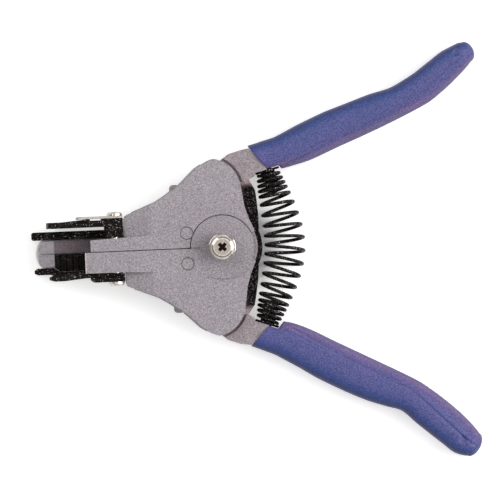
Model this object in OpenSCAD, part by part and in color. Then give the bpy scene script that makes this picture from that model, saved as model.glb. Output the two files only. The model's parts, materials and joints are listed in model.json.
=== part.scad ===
// Automatic wire stripper, in millimetres, lying flat with its jaws at rest.
// X runs from the jaws (negative) to the handles, Y towards the cutter side, Z up.
// The origin is on the main pivot's axis, in the plane that the tool rests on.
// "Cutter side" is +Y and carries the blades, "gripper side" is -Y and carries the gripping plates.

/* [Wings and hubs] */
// Distance from the pivot to the front edge of a wing
wing_l = 35.3; // [33:0.1:38]
// Distance from the middle line to the outer corner of a wing
wing_w = 32.6; // [31:0.1:35]
// Radius of the wing's outer corner
corner_r = 12; // [11.4:0.1:12.6]
// Thickness of a wing
wing_t = 4; // [3.4:0.1:5]
// Radius of the round boss under the pivot screw
boss_r = 11.6; // [11:0.1:11.8]
// Radius of the hubs
hub_r = 12.9; // [12.3:0.1:13]
// Height of the round boss
boss_t = 3; // [2.6:0.1:3.6]
// Depth of the skirt along a wing's outer edge
skirt_h = 5; // [4:0.1:5.6]
// Thickness of the skirt
skirt_t = 2.4; // [1.8:0.1:2.8]

/* [Frames] */
// Thickness of the two frames together
frame_t = 10.2; // [9.4:0.1:11]
// Height of a neck above the surface that the tool rests on
neck_h = 13; // [12:0.1:14]
// Angle by which the handles' middle line turns from the jaws' middle line
handle_skew = -2.4; // [-3:0.1:0]
// Depth of the hollow in the underside of a frame
hollow_d = 2.4; // [1:0.1:3.4]

/* [Jaws] */
// Angle by which the jaws stand open at rest
jaw_open = 8; // [7:0.1:8.4]
// Distance from the pivot to the cross pins
pin_reach = 16.7; // [16:0.1:17.4]
// Diameter of a cross pin
cross_pin_d = 4; // [3.4:0.1:4.4]
// Height of the plane where closed jaws meet
meet_z = 10; // [9.8:0.1:10.4]
// Reach of the narrow finger
narrow_reach = 49.4; // [48:0.1:50.1]
// Reach of the wide finger
wide_reach = 51.5; // [50.2:0.1:52]
// Width of the narrow finger
narrow_w = 4.9; // [4.4:0.1:5.1]
// Width of the wide finger
wide_w = 7.7; // [7.3:0.1:7.9]
// Reach of the lower tip blocks
tip_reach = 67.5; // [67:0.1:68.2]
// Length of a lower tip block
tip_l = 5.8; // [5:0.1:6.2]

/* [Blades and plates] */
// Thickness of a cutter blade
blade_t = 2.2; // [1.8:0.1:2.4]
// Reach of the upper cutter blade
blade_reach = 64.4; // [64:0.1:65.4]
// Reach of the long wire guide
guide_reach = 69.9; // [69.4:0.1:71]
// Thickness of the wire guide
guide_t = 3; // [2.6:0.1:3.2]
// Reach of the upper gripper plate
grip_plate_reach = 64; // [63.4:0.1:64.4]
// Radius of the smallest wire notch
notch_r = 0.5; // [0.4:0.05:0.6]
// Number of wire notches in a blade
notch_n = 5; // [3:1:5]
// Number of ribs on the lower pad
rib_n = 7; // [4:1:9]

/* [Handles] */
// Length of a grip sleeve
grip_l = 88.5; // [84:0.5:94]
// Width that the outline of a grip follows
grip_w = 13; // [12:0.1:13.6]
// Thickness of a grip
grip_t = 13.6; // [12.4:0.1:14]
// Thickness of the grip's wall round the tang
grip_wall = 2.8; // [2.4:0.1:3.2]

/* [Main spring] */
// Wire diameter of the main spring
spring_wire = 1.25; // [1:0.05:1.3]
// Outer diameter of the main spring's end coils
spring_end_d = 8.6; // [8.3:0.1:9.2]
// Outer diameter of the main spring's middle
spring_mid_d = 15.2; // [14:0.1:15.3]
// Number of close coils at each end
close_n = 4; // [3:0.5:4.5]
// Pitch of the close coils
close_pitch = 1.85; // [1.8:0.05:2]
// Number of coils in all
coil_n = 18.5; // [16.5:1:19.5]
// How far the spring bows out between its seats
spring_bow = 6.3; // [5.6:0.1:7]

/* [Pivot and fasteners] */
// Diameter of the pivot screw
pivot_d = 5; // [4.6:0.1:5.2]
// Diameter of the pivot screw's head
pivot_head_d = 9.4; // [9:0.1:9.8]
// Diameter of the sleeve nut's barrel
sleeve_d = 8; // [7.6:0.1:8.2]
// Diameter of the sleeve nut's flange
flange_d = 14; // [13:0.5:16]
// Diameter of the jaw screws
jaw_screw_d = 3; // [2.8:0.1:3]
// Diameter of the flush pins in the wings
flush_pin_d = 4.8; // [4.4:0.1:5]

/* [Hidden] */

casting = [0.64, 0.62, 0.64];
blued = [0.12, 0.11, 0.12];
nickel = [0.78, 0.76, 0.72];
steel = [0.5, 0.5, 0.52];
blue = [0.34, 0.35, 0.6];

// Running clearance of a pin or barrel in its bore
fit = 0.05;
// Gap between pieces that pass each other
gap = 0.3;
// Gap between two seated faces
face_gap = 0.02;
// Half the gap between the two sides along the middle line
seam = gap / 2;
// Length by which a cut runs past what it cuts
over = 1;
// Length by which joined forms run into one another
join = 0.7;
// Facets round a turned piece
turned_fn = 64;

// Heights in the stack round the pivot, from the resting plane up
hub_gap = 0.2;
hub_t = (frame_t - hub_gap) / 2;
// The frames' hubs reach further out behind than in front, where the levers' ears are
rear_hub_r = 14.6;
// Angle by which the handles close
handle_sweep = 36;
lever_hub_t = 3;
lever_wall_r = 16;
lever_hub_gap = 0.5;
lever_hub_z = frame_t + lever_hub_gap;
lap_gap = 1.3;
boss_z = lever_hub_z + lever_hub_t + lap_gap;
boss_top = boss_z + boss_t;
boss_gap = 0.6;
flange_t = 1.6;
ring_t = 0.9;
ring_lug_h = 1;
ring_sink = 0.15;
ring_z = frame_t - ring_t - ring_lug_h - ring_sink;
ring_r = 9.2;
ring_lug_w = 3;
washer_t = 0.7;
spring_space = 6.4;
screw_washer_t = 0.8;
head_z = boss_top + spring_space + screw_washer_t;
head_h = 3.3;
thin_sleeve_t = 0.7;
thin_sleeve_r = pivot_d / 2 + thin_sleeve_t;
thin_sleeve_z = lever_hub_z + lever_hub_t + boss_gap;
// The levers tilt round the sleeve, so their bores are wide
tilt_room = 0.9;
// The boss's bore lies off the pivot's axis, because it moves forward as the jaws close
bore_shift = 0.5;
boss_bore_r = thin_sleeve_r + tilt_room;
lever_hub_bore_r = sleeve_d / 2 + tilt_room;
screw_tip_z = 3;
nut_floor = 2;
spanner_hole_d = 2;
spanner_hole_at = 4.6;
spanner_hole_depth = 1.1;
recess_w = 1.3;
recess_l = 5;
recess_angle = 45;
recess_floor_share = 0.35;

// Cross pins and the tilt of the levers
pin_x = -pin_reach;
pin_rise = 1.3;
pin_z = frame_t + pin_rise;
ear_wall = 1.7;
ear_r = cross_pin_d / 2 + ear_wall;
ear_gap = 0.1;
wing_z = pin_z + ear_r + ear_gap;
lug_y = seam + skirt_t + 2 * gap;
lug_end = 0.45 * wing_w;
ear_y = 0.585 * wing_w - skirt_t;
pin_end = 0.72 * wing_w;
pin_tip = 1.1;
flush_pin_x = -13.9;
flush_pin_y = 5.6;
flush_pin_sink = 0.05;
wing_top = wing_z + wing_t;
// A point of a lever's top, seen from above at rest, moves back by this when the jaws open
tilt_shift = (wing_top - pin_z) * sin(jaw_open);

screw_head_d = 5.6;
screw_head_h = 1.4;
screw_recess_w = 0.8;

// Rows across the jaws, from the middle line outwards
arm_w = 5.1;
guide_y = arm_w + face_gap;
blade_spacer_t = 1.1;
blade_y = arm_w + guide_t + blade_spacer_t;
backing_t = 0.7;
backing_bridge_t = 0.2;
strip_t = 0.9;
backing_y = blade_y + blade_t + face_gap;
strip_y = backing_y + backing_t + face_gap;
cutter_head_y = strip_y + strip_t + face_gap;
pad_w = 6.5;
plate_gap = 0.1;
plate_y = pad_w + plate_gap;
plate_t = 2.8;
upper_plate_y = seam + wide_w + face_gap;
upper_plate_t = 1.4;
clamp_t = 1.8;
clamp_y = upper_plate_y + upper_plate_t + face_gap;
gripper_head_y = clamp_y + clamp_t + face_gap;

// Lengths along the jaws
// The plates start at a clearance in front of the wing's front edge, with their screw at their back
mount_clear = 1.6;
mount_back = -wing_l - mount_clear;
mount_x = mount_back - screw_head_d / 2;
mount_front_l = 3.5;
mount_front = mount_x - mount_front_l;
arm_back = over - wing_l;
bridge_back = -12.7;
wire_x = -56;
guide_notch_r = 1.2;
notch_x = -61.5;
notch_step = 2.6;
notch_growth = 0.16;
pad_front = -tip_reach + tip_l;
pad_step = 2.8;
pad_back = mount_front - pad_step;
pad_slack = 0.1;
lower_bend = -60.2;
rib_gap_w = 0.6;
rib_gap_depth = 0.7;
backing_front = -59;
slot_step = 1.2;
slot_l = 4.6;
slot_front = mount_front - slot_step - slot_l;
backing_shoulder_l = 1;
backing_shoulder = slot_front - backing_shoulder_l;
strip_over = 4.6;
strip_front = slot_front - strip_over;
clamp_front = slot_front;
clamp_chamfer = 1.2;
tip_w_cutter = 4.7;
tip_w_gripper = 4.8;
tip_round = 2;
guide_chamfer = 0.5;
blade_step = 2;
lower_blade_front = blade_step - blade_reach;

// Heights of the jaws
arm_foot = 1.2;
arm_top = 7.2;
arm_seat_z = meet_z - over;
tip_top = meet_z - gap;
lower_plate_foot = 2.4;
spacer_top = 8.4;
guide_sink = 0.4;
guide_top = meet_z - guide_sink;
upper_plate_foot = 11.2;
upper_plate_top = 17;
spacer_upper_foot = 11;
spacer_upper_top = 17.4;
strip_foot = 12;
strip_top = 16.6;
lower_screw_z = 5.2;
upper_screw_z = 14.6;
finger_lift = 1.2;
finger_foot = meet_z + finger_lift;
finger_drop = 0.4;
finger_top = wing_top - finger_drop;
blade_h = 6.8;
bite_gap = 0.05;

// Handles: a grip starts at its root and runs at its own angle from the handles' middle line
root_cutter = [13.0, 32.4];
root_gripper = [14.2, 32.1];
grip_angle_cutter = 27.5;
grip_angle_gripper = 28.1;
neck_foot = 0.6;
tang_spare = 1;
tang_t = grip_t - 2 * grip_wall - tang_spare;
tang_w = grip_w * 0.5;
grip_foot = 0.4;
grip_z = grip_foot + grip_t / 2;

// Stations of a grip: share of its length, then shares of its width for the outer and inner edge
grip_cutter_shares = [
  [0.000, 0.46, -0.44], [0.050, 0.39, -0.53], [0.110, 0.33, -0.62], [0.200, 0.34, -0.72],
  [0.315, 0.32, -0.75], [0.420, 0.25, -0.79], [0.530, 0.17, -0.82], [0.630, 0.06, -0.83],
  [0.720, 0.10, -0.82], [0.810, 0.21, -0.71], [0.890, 0.30, -0.55], [0.950, 0.30, -0.40],
  [0.985, 0.20, -0.27], [1.000, 0.06, -0.12],
];
grip_gripper_shares = [
  [0.000, 0.42, -0.46], [0.050, 0.36, -0.61], [0.100, 0.32, -0.72], [0.180, 0.32, -0.79],
  [0.290, 0.34, -0.82], [0.400, 0.31, -0.86], [0.510, 0.24, -0.90], [0.600, 0.12, -0.93],
  [0.660, 0.03, -0.94], [0.740, 0.14, -0.89], [0.820, 0.24, -0.80], [0.880, 0.31, -0.71],
  [0.935, 0.37, -0.60], [0.980, 0.31, -0.48], [1.007, 0.17, -0.37], [1.020, 0.00, -0.22],
];
tang_share = 0.81;
// How far a sleeve's end leans towards the wing on its outer side, as a share of the way across
end_lean_share = 0.22;
// How full the grip's section is: 2 is an ellipse, more is squarer
grip_fullness = 2.7;
grip_sides = 20;

// Seats of the main spring, in the handles' middle-line frame
seat_at = [16.2, 28.4];
seat_angle = -73;
seat_rim = 0.2;
seat_flange_r = spring_end_d / 2 + seat_rim;
seat_flange_t = 0.8;
seat_stud_l = 3.2;
seat_stud_gap = 0.35;
seat_stud_r = spring_end_d / 2 - spring_wire - seat_stud_gap;
seat_pin_r = 1.8;
seat_pin_l = 4.2;
seat_z = 7;
spring_foot = 0.25;
spring_z = spring_mid_d / 2 + spring_foot;
coil_rings = 8;
wire_sides = 6;

// Turns an angle and a radius into a point
function polar(r, a) = [r * cos(a), r * sin(a)];

// Points on an arc
function arc(c, r, a0, a1, n) = [for (i = [0 : n]) c + polar(r, a0 + (a1 - a0) * i / n)];

function unit(v) = v / norm(v);
function left_of(v) = [-v[1], v[0]];

// The outline moved inwards by d, for points listed anticlockwise
function inset(pts, d) = let (n = len(pts)) [
  for (i = [0 : n - 1])
    let (a = unit(pts[i] - pts[(i + n - 1) % n]), b = unit(pts[(i + 1) % n] - pts[i]))
      pts[i] + (left_of(a) + left_of(b)) * d / (1 + a * b)
];

function level(pts, z) = [for (p = pts) [p[0], p[1], z]];

// Turns a point from the handles' middle-line frame into the tool's frame, mirrored on the gripper side
function turned(p, side) = let (c = cos(handle_skew), s = sin(handle_skew), y = p[1] * side)
  [p[0] * c - y * s, p[0] * s + y * c];

// A solid through rings of points that lie one above the other
module loft(rings) {
  n = len(rings[0]);
  m = len(rings);
  walls = [
    for (k = [0 : m - 2], i = [0 : n - 1])
      let (a = k * n + i, b = k * n + (i + 1) % n)
        each [[a, a + n, b + n], [a, b + n, b]]
  ];
  foot = [for (i = [0 : n - 1]) i];
  top = [for (i = [n - 1 : -1 : 0]) (m - 1) * n + i];
  polyhedron([for (r = rings) each r], concat([foot], walls, [top]), convexity = 6);
}

// A round tube through points, each with a direction that its rings are laid out from
module tube(path, r) {
  n = len(path);
  loft([for (i = [0 : n - 1])
    let (t = unit(path[min(i + 1, n - 1)][0] - path[max(i - 1, 0)][0]),
         e = unit(path[i][1] - t * (path[i][1] * t)),
         f = cross(t, e))
      [for (k = [0 : wire_sides - 1])
        let (a = 360 * k / wire_sides) path[i][0] + r * (cos(a) * e + sin(a) * f)]
  ]);
}

// The children on the gripper side, or as they are on the cutter side
module on_side(side) {
  if (side < 0) mirror([0, 1, 0]) children();
  else children();
}

// Tilts a lever's pieces from closed to their place at rest
module opened() {
  translate([pin_x, 0, pin_z]) rotate([0, jaw_open, 0]) translate([-pin_x, 0, -pin_z]) children();
}

// A cylinder along Y from y0 to y1
module across(x, y0, y1, z, r) {
  translate([x, y0, z]) rotate([-90, 0, 0]) cylinder(h = y1 - y0, r = r, $fn = turned_fn);
}

// An upright prism from an outline
module prism(pts, z0, z1) {
  translate([0, 0, z0]) linear_extrude(z1 - z0) polygon(pts);
}

// A prism along Y from an outline in X and Z
module side_prism(pts, y0, y1) {
  translate([0, y1, 0]) rotate([90, 0, 0]) linear_extrude(y1 - y0) polygon(pts);
}

// An upright cylinder on the pivot's axis
module disc(r, z0, z1) {
  translate([0, 0, z0]) cylinder(h = z1 - z0, r = r, $fn = turned_fn);
}

// A box between two corners
module block(a, b) {
  translate(a) cube(b - a);
}

// Outline of a wing seen from above at rest, with its shares of the wing's length and width
front_shares = [[-0.793, 0.479], [-0.952, 0.411], [-0.988, 0.392], [-1, 0.353]];
edge_shares = [[-0.105, 0.976], [-0.155, 0.949], [-0.235, 0.894], [-0.377, 0.745], [-0.552, 0.607],
               [-0.652, 0.540]];
rear_shares = [[0.340, 0.169], [0.286, 0.307], [0.244, 0.454]];
corner_at = [wing_w * -0.132, wing_w - corner_r];
corner_start = 5;
corner_end = 79;
wing_seen = concat(
  [[-wing_l, seam], [0, seam]],
  [for (s = rear_shares) [s[0] * wing_l, s[1] * wing_w]],
  arc(corner_at, corner_r, corner_start, corner_end, 9),
  [for (s = edge_shares) [s[0] * wing_l, s[1] * wing_w]],
  [for (s = front_shares) [s[0] * wing_l, s[1] * wing_w]]
);
// The same outline when the lever is level
wing_outline = [for (p = wing_seen) [pin_x + (p[0] - pin_x - tilt_shift) / cos(jaw_open), p[1]]];
frame_slack = 0.9;
frame_inset = skirt_t + frame_slack;
frame_outline = inset(concat(
  [[-wing_l, seam], [0.05 * wing_l, seam], [0.25 * wing_l, 0.3 * wing_w], [0.244 * wing_l, 0.454 * wing_w]],
  arc(corner_at, corner_r, corner_start, corner_end, 6),
  [for (s = edge_shares) [s[0] * wing_l, s[1] * wing_w]],
  [[-wing_l, 0.39 * wing_w]]
), frame_inset);
// Hollows in the underside of a frame, in shares of the wing's length and width
front_hollow_shares = [[-0.82, 0.24], [-0.62, 0.24], [-0.62, 0.42], [-0.82, 0.34]];
rear_hollow_shares = [[-0.33, 0.3], [0.15, 0.4], [0.17, 0.5], [0.12, 0.74], [-0.03, 0.83], [-0.13, 0.77],
                      [-0.33, 0.58]];

// Rear web of a frame, which reaches past the wing towards the spring
web_rim = 1.9;
web_shares = [[0.371, 0.368], [0.354, 0.521], [0.337, 0.644], [0.26, 0.78]];
function web_outline(side) = facing(concat(
  [[0, seam * side], turned(polar(hub_r + web_rim, 26), side)],
  [for (s = web_shares) turned([s[0] * wing_l, s[1] * wing_w], side)],
  [[0.14 * wing_l, 0.82 * wing_w * side], [0, 0.7 * wing_w * side]]
), side);

// Point of a grip's outline: share of its length, distance off its axis, in the tool's frame
function grip_point(side, u, v) = let (
  root = side > 0 ? root_cutter : root_gripper,
  a = side > 0 ? grip_angle_cutter : grip_angle_gripper)
  turned(root + polar(u * grip_l, a) + polar(v, a + 90), side);

// Point of a neck's end, against the end of its sleeve
function neck_end(side, share) =
  grip_point(side, -(face_gap + end_lean_share * share * grip_w) / grip_l, share * grip_w);

// The points in reverse on the gripper side, where mirroring turned them round
function facing(pts, side) = side > 0 ? pts : [for (i = [len(pts) - 1 : -1 : 0]) pts[i]];

// Outline of a neck between the wing's corner and the grip
function neck_outline(side) = facing([
  turned([0.03 * wing_l, 0.58 * wing_w], side),
  turned([0.185 * wing_l, 0.715 * wing_w], side),
  turned(seat_at, side),
  neck_end(side, -0.43),
  neck_end(side, 0.375),
  turned([0.185 * wing_l, 1.088 * wing_w], side),
  turned([0.06 * wing_l, 1.045 * wing_w], side),
  turned([-0.03 * wing_l, 0.97 * wing_w], side),
], side);

// Rings of a grip: rounded sections that grow lower where the grip is narrow
function grip_rings(side, shares) = [
  for (s = shares)
    let (mid = (s[1] + s[2]) / 2 * grip_w, half = (s[1] - s[2]) / 2 * grip_w,
         tall = grip_t / 2 * min(1, 0.45 + half / grip_w * 1.4))
      [for (k = [0 : grip_sides - 1])
        let (a = 360 * k / grip_sides * side, c = cos(a), s2 = sin(a),
             f = 1 / pow(pow(abs(c), grip_fullness) + pow(abs(s2), grip_fullness), 1 / grip_fullness),
             v = mid + half * f * c,
             lean = s[0] == 0 ? end_lean_share * v / grip_l : 0,
             p = grip_point(side, s[0] - lean, v))
          [p[0], p[1], grip_z + tall * f * s2]]
];

// Outline of a tang along the middle of its grip, widened by a clearance
function tang_outline(side, shares, clear) = let (
  rows = [for (s = shares) if (s[0] <= tang_share) s],
  mids = [for (s = rows) (s[1] + s[2]) / 2 * grip_w],
  half = tang_w / 2 + clear)
  facing(concat(
    [for (i = [0 : len(rows) - 1]) grip_point(side, rows[i][0], mids[i] - half)],
    [for (i = [len(rows) - 1 : -1 : 0]) grip_point(side, rows[i][0], mids[i] + half)]
  ), side);

// A frame's hub, grown by a clearance, with its larger rear part starting this far in front of the pivot
module frame_hub(clear, front, z0, z1) {
  disc(hub_r + clear, z0, z1);
  intersection() {
    disc(rear_hub_r + clear, z0, z1);
    block([-front, -rear_hub_r - over, z0], [rear_hub_r + over, rear_hub_r + over, z1]);
  }
}

// The two frames share this form; side is 1 for the cutter side and -1 for the gripper side
module frame_body(side) {
  shares = side > 0 ? grip_cutter_shares : grip_gripper_shares;
  hub_z0 = side > 0 ? hub_t + hub_gap : face_gap;
  other_z0 = side > 0 ? -over : hub_t;
  other_z1 = side > 0 ? hub_t + hub_gap : frame_t + over;
  neck = neck_outline(side);
  difference() {
    union() {
      on_side(side) {
        prism(frame_outline, 0, frame_t);
        block([arm_back, seam, 0], [bridge_back, arm_w, frame_t]);
        across(pin_x, lug_y, lug_end, pin_z, ear_r);
        block([pin_x - ear_r, lug_y, frame_t - over], [pin_x + ear_r, lug_end, pin_z]);
        jaw_arm(side);
      }
      prism(web_outline(side), 0, frame_t);
      // The neck's upper part stops short of the wing's corner
      prism(neck, neck_foot, frame_t - over);
      difference() {
        prism(neck, frame_t - over, neck_h);
        on_side(side) prism(inset(wing_seen, -over), frame_t, neck_h + over);
      }
      prism(tang_outline(side, shares, 0), grip_z - tang_t / 2, grip_z + tang_t / 2);
      frame_hub(0, 0, hub_z0, side > 0 ? frame_t : hub_t);
    }
    // Room for the other frame's hub, as far round as it swings
    frame_hub(gap, (rear_hub_r + gap) * sin(handle_sweep), other_z0, other_z1);
    // Notches for the lever's ears round the cross pin
    on_side(side) {
      block([pin_x - ear_r - gap, -over, pin_z - ear_r - gap],
            [pin_x + ear_r + gap, seam + skirt_t + gap, frame_t + over]);
      block([pin_x - ear_r - gap, lug_end, pin_z - ear_r - gap],
            [pin_x + ear_r + gap, wing_w, frame_t + over]);
      across(pin_x, 0, wing_w, pin_z, cross_pin_d / 2 + fit);
      across(mount_x, 0, arm_w + pad_w, lower_screw_z, jaw_screw_d / 2 + fit);
      underside_hollow();
    }
    // Flat land and bore for the spring seat
    at_seat(side) {
      translate([0, -seat_flange_r - gap, -spring_z - over])
        cube([seat_flange_r * 2, 2 * (seat_flange_r + gap), neck_h + 2 * over]);
      translate([-seat_pin_l - gap, 0, 0]) rotate([0, 90, 0])
        cylinder(h = seat_pin_l + gap + over, r = seat_pin_r + fit, $fn = turned_fn);
    }
    disc(sleeve_d / 2 + fit, -over, frame_t + over);
    // Seat of the nut's flange below, or of the lift ring above
    if (side < 0) disc(flange_d / 2 + fit, -over, flange_t);
    else disc(ring_r + gap, ring_z - face_gap, frame_t + over);
  }
}

// Wall left between the hub's recess and the hollow
hub_wall = 1.2;

// Hollow in the underside of a frame plate
module underside_hollow() {
  prism([for (s = front_hollow_shares) [s[0] * wing_l, s[1] * wing_w]], -over, hollow_d);
  difference() {
    prism([for (s = rear_hollow_shares) [s[0] * wing_l, s[1] * wing_w]], -over, hollow_d);
    disc(hub_r + hub_wall, -2 * over, hollow_d + over);
  }
}

// Places children on a spring seat, with X pointing from the neck towards the spring
module at_seat(side) {
  p = turned(seat_at, side);
  translate([p[0], p[1], seat_z]) rotate([0, 0, handle_skew + seat_angle * side]) children();
}

// Lower jaw: arm, tip block and, on the gripper side, the pocket of the pad
module jaw_arm(side) {
  w = side > 0 ? arm_w : pad_w;
  tip_w = side > 0 ? tip_w_cutter : tip_w_gripper;
  block([pad_front - tip_l / 2, seam, arm_foot], [arm_back, tip_w, arm_top]);
  block([lower_bend + gap, seam, arm_foot], [arm_back, w, arm_top]);
  block([pad_back, seam, arm_top - over], [arm_back, w, arm_seat_z]);
  prism(concat([[-tip_reach, seam], [pad_front, seam], [pad_front, tip_w]],
               arc([-tip_reach + tip_round, tip_w - tip_round], tip_round, 90, 180, 6)), arm_foot, tip_top);
}

module frame_gripper() {
  color(casting) frame_body(-1);
}

module frame_cutter() {
  color(casting) frame_body(1);
}

// Angle by which a wing's front part falls away
front_fall = 18;
// How far a finger's front end slopes back below, and how much narrower the narrow one is at its tip
wide_slope = 0.8;
narrow_slope = 1;
narrow_taper = 0.5;
// Outline of a finger seen from the side, from its root forward below and back again above
finger_bend = 1;
finger_lower = [
  [-wing_l * 0.6, wing_z + 0.2 * finger_bend], [-wing_l + 4 * finger_bend, wing_z - finger_bend],
  [-wing_l - 2 * finger_bend, finger_foot + 0.4 * finger_bend],
];
finger_upper = [
  [-wing_l - 2 * finger_bend, wing_top + 0.3 * finger_bend],
  [-wing_l + 4 * finger_bend, wing_top + 0.5 * finger_bend],
  [-wing_l * 0.72, wing_top + 0.2 * finger_bend], [-wing_l * 0.6, wing_top - 0.3 * finger_bend],
];
// Where a finger is wider than its front part, from its root forward
finger_side = [
  [-wing_l * 0.6, finger_bend], [-wing_l * 0.72, 0.6 * finger_bend],
  [-wing_l + 4 * finger_bend, 0.3 * finger_bend], [-wing_l - 2 * finger_bend, 0],
];

// What both levers share, level, on the cutter side
module lever_level(reach, w, tip_w, front_slope) {
  difference() {
    union() {
      difference() {
        prism(wing_outline, wing_z, wing_top);
        // The finger's own top takes over before the wing's front edge
        block([-wing_l - over, -over, finger_top - finger_bend],
              [-wing_l + 4 * finger_bend, w, wing_top + over]);
        // The wing falls away towards its front edge beside the finger
        translate([-wing_l * 0.76, w, wing_top]) rotate([0, -front_fall, 0])
          translate([-wing_l, 0, 0]) cube([wing_l, wing_w, wing_t]);
      }
      // Skirt along the outer edge, and the ears round the cross pin
      intersection() {
        difference() {
          prism(wing_outline, wing_z - skirt_h, wing_z + join);
          prism(inset(wing_outline, skirt_t), wing_z - skirt_h - over, wing_z + over);
        }
        block([-wing_l * 0.93, 0.3 * wing_w, 0], [-0.2 * wing_l, wing_w, wing_top]);
      }
      across(pin_x, ear_y, ear_y + skirt_t, pin_z, ear_r);
      block([pin_x - ear_r, ear_y, pin_z], [pin_x + ear_r, ear_y + skirt_t, wing_z + join]);
      across(pin_x, seam, seam + skirt_t, pin_z, ear_r);
      block([pin_x - ear_r, seam, pin_z], [pin_x + ear_r, seam + skirt_t, wing_z + join]);
      // Finger, bent where it leaves the wing
      intersection() {
        side_prism(concat(finger_lower,
                          [[-reach + front_slope, finger_foot], [-reach, finger_top]],
                          finger_upper), 0, wing_w);
        prism(concat([[-reach, seam], [-wing_l * 0.6, seam]], [for (s = finger_side) [s[0], w + s[1]]],
                     [[-reach, tip_w]]), 0, wing_top * 2);
      }
    }
    across(pin_x, 0, wing_w, pin_z, cross_pin_d / 2 + fit);
    across(mount_x, w / 2, w + over, upper_screw_z, jaw_screw_d / 2 + fit);
    translate([flush_pin_x, flush_pin_y, 0])
      cylinder(h = wing_top + over, d = flush_pin_d + 2 * fit, $fn = turned_fn);
  }
}
module lever_gripper() {
  color(casting) difference() {
    union() {
      difference() {
        opened() mirror([0, 1, 0]) lever_level(wide_reach, wide_w, wide_w, wide_slope);
        // Room for the cutter lever's hub
        disc(hub_r + boss_gap, 0, boss_z);
      }
      disc(boss_r, boss_z, boss_top);
    }
    translate([bore_shift, 0, 0]) disc(boss_bore_r, 0, head_z);
    // The seam's groove runs a little way onto the boss
    block([-boss_r - over, -gap, boss_top - gap], [-boss_r * 0.69, seam, boss_top + over]);
  }
}

module lever_cutter() {
  color(casting) difference() {
    union() {
      opened() lever_level(narrow_reach, narrow_w, narrow_w - narrow_taper, narrow_slope);
      // Wall that carries the hub, clear of the frame's lug and the cross pin
      difference() {
        intersection() {
          disc(lever_wall_r, lever_hub_z, boss_z);
          prism([[-wing_l, seam], [0, seam], [0.3 * wing_l, 0.5 * wing_w], [0, wing_w], [-wing_l, wing_w]],
                lever_hub_z, boss_z);
        }
        across(pin_x, lug_y - gap, lug_end + gap, pin_z, ear_r + boss_gap);
        across(pin_x, 0, wing_w, pin_z, cross_pin_d / 2 + fit);
        opened() translate([flush_pin_x, flush_pin_y, 0])
          cylinder(h = wing_top, d = flush_pin_d + 2 * fit, $fn = turned_fn);
      }
      disc(hub_r, lever_hub_z, lever_hub_z + lever_hub_t);
    }
    // Room for the gripper lever's boss
    disc(boss_r + gap, lever_hub_z + lever_hub_t, head_z);
    disc(lever_hub_bore_r, 0, head_z);
    // The hub's underside is level at rest
    disc(lever_wall_r + over, 0, lever_hub_z);
  }
}

module grip_sleeve(side) {
  shares = side > 0 ? grip_cutter_shares : grip_gripper_shares;
  neck = inset(neck_outline(side), -face_gap);
  color(blue) difference() {
    loft(grip_rings(side, shares));
    prism(tang_outline(side, shares, fit), grip_z - tang_t / 2 - fit, grip_z + tang_t / 2 + fit);
    prism(neck, -over, neck_h + grip_t);
    at_seat(side) {
      translate([-gap, -seat_flange_r - gap, -grip_t])
        cube([spring_end_d, 2 * (seat_flange_r + gap), 2 * grip_t]);
      translate([-seat_pin_l - gap, 0, 0]) rotate([0, 90, 0])
        cylinder(h = seat_pin_l + gap, r = seat_pin_r + gap, $fn = turned_fn);
    }
  }
}

module grip_sleeve_gripper() {
  grip_sleeve(-1);
}

module grip_sleeve_cutter() {
  grip_sleeve(1);
}

// Centre line of the main spring, from the gripper side's seat to the cutter side's
leg_shares = [1.5, 0.5];
spring_lift = seat_flange_t + face_gap + leg_shares[0] * spring_wire;
seat_a = turned(seat_at + polar(spring_lift, seat_angle), -1);
seat_b = turned(seat_at + polar(spring_lift, seat_angle), 1);
dir_a = polar(1, handle_skew - seat_angle);
dir_b = polar(1, handle_skew + seat_angle);
handle_l = spring_bow / (0.75 * cos(seat_angle));
function spring_line(t) = let (u = 1 - t)
  u * u * u * seat_a + 3 * u * u * t * (seat_a + handle_l * dir_a)
  + 3 * u * t * t * (seat_b + handle_l * dir_b) + t * t * t * seat_b;
line_n = 80;
line_lengths = [
  for (i = 0, s = 0; i <= line_n;
       i = i + 1, s = s + norm(spring_line(min(i, line_n) / line_n) - spring_line((i - 1) / line_n)))
    [s, i / line_n]
];
line_l = line_lengths[line_n][0];

// How much of the open pitch a coil has: none in the close coils, all in the middle
function openness(turn) = let (e = min(turn, coil_n - turn)) min(1, max(0, (e - close_n + 0.5) / 2));
turn_step = 1 / coil_rings;
coil_steps = coil_n * coil_rings;
open_turns = [for (i = [0 : coil_steps - 1]) openness((i + 0.5) * turn_step) * turn_step];
function total(v) = v * [for (x = v) 1];
open_pitch = (line_l - close_pitch * coil_n) / total(open_turns);
travel = [
  for (i = 0, s = 0; i <= coil_steps; i = i + 1,
       s = s + close_pitch * turn_step + open_pitch * openness((i - 0.5) * turn_step) * turn_step)
    s
];
function coil_r(share) =
  (spring_end_d + (spring_mid_d - spring_end_d) * pow(max(0, sin(180 * share)), 0.8) - spring_wire) / 2;
spring_coil = [
  for (i = [0 : coil_steps])
    let (t = lookup(travel[i], line_lengths), c = spring_line(t), share = travel[i] / line_l,
         d = unit(spring_line(min(1, t + 0.01)) - spring_line(max(0, t - 0.01))),
         a = 360 * i * turn_step, side = [d[1], -d[0], 0] * cos(a) + [0, 0, 1] * sin(a))
      [[c[0], c[1], seat_z + (spring_z - seat_z) * sin(180 * share)] + coil_r(share) * side, side]
];
spring_last = spring_coil[coil_steps];
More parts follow.
